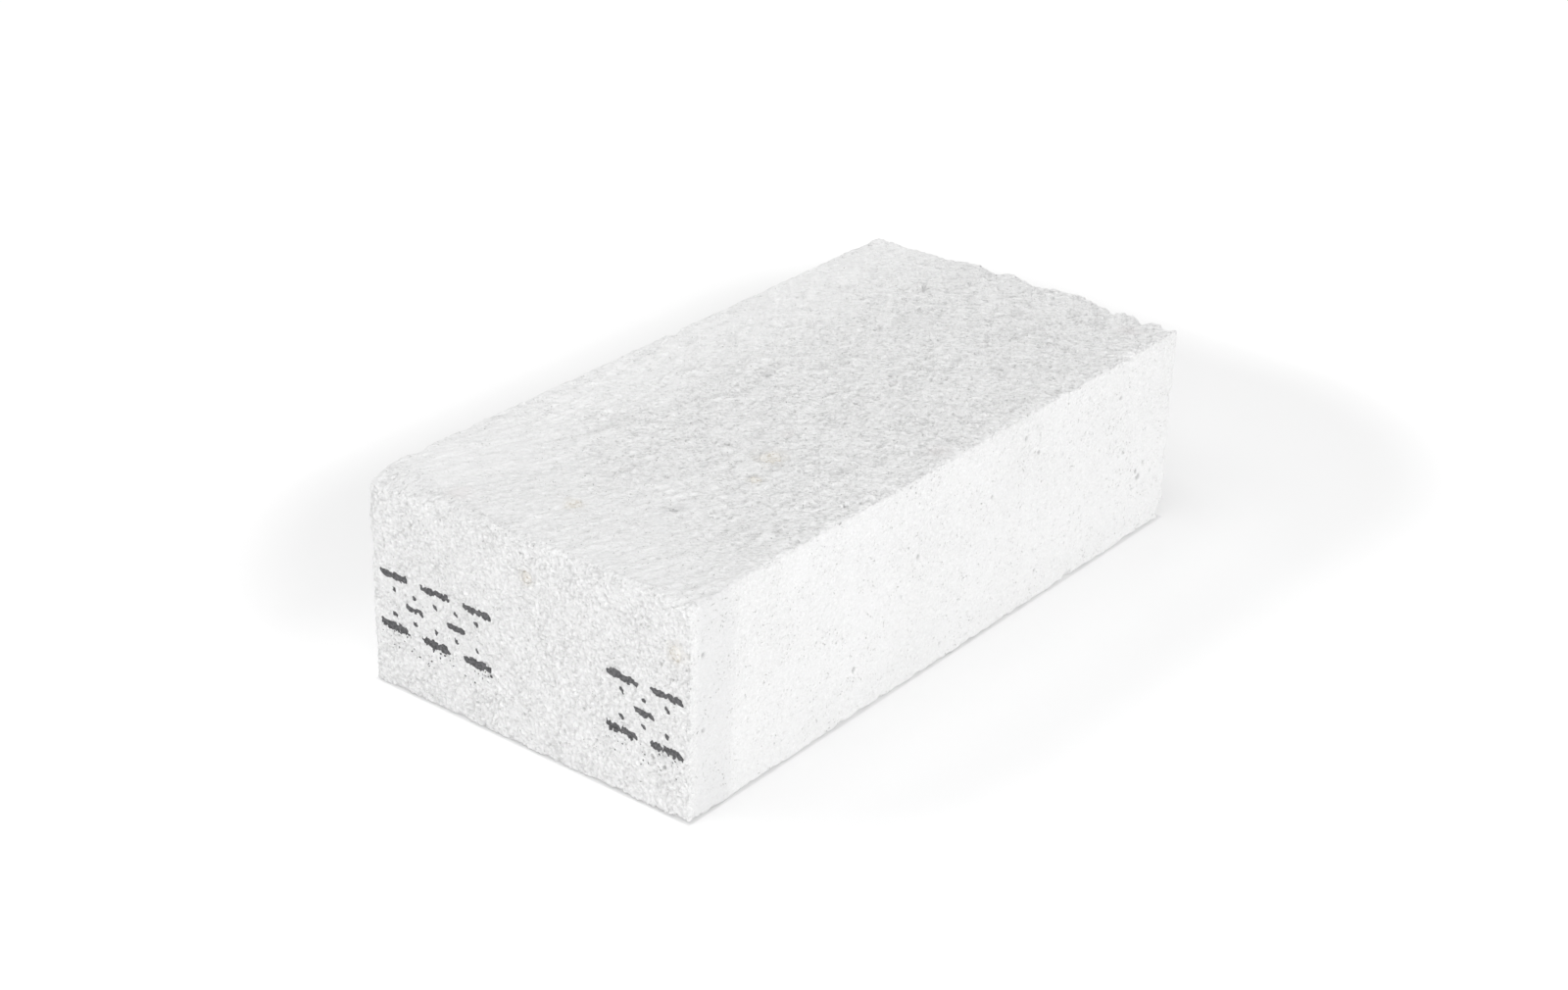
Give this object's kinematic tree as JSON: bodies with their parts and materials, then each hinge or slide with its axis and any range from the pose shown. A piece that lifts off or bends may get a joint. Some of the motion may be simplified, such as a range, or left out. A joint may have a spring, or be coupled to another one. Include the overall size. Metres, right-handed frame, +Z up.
{
  "type": "insulating fire brick",
  "caption": "White porous rectangular insulating fire brick with worn edges, open pores, curved drag grooves, set-in tan grains and dark ink bars on one end.",
  "frame": {"origin": "centre of the underside of the block's bounding box", "axes": "+X along the length from the printed end to the ragged end, +Y across to the left side as seen from the printed end, +Z up"},
  "size_m": [0.2336, 0.114, 0.064],
  "materials": {
    "refractory": "matte",
    "ink": "matte",
    "tan_grain": "matte"
  },
  "bodies": {
    "root": {"brick_body": "refractory", "ink_mark_left": "ink", "ink_mark_right": "ink", "iron_spots": "tan_grain"}
  },
  "joints": []
}
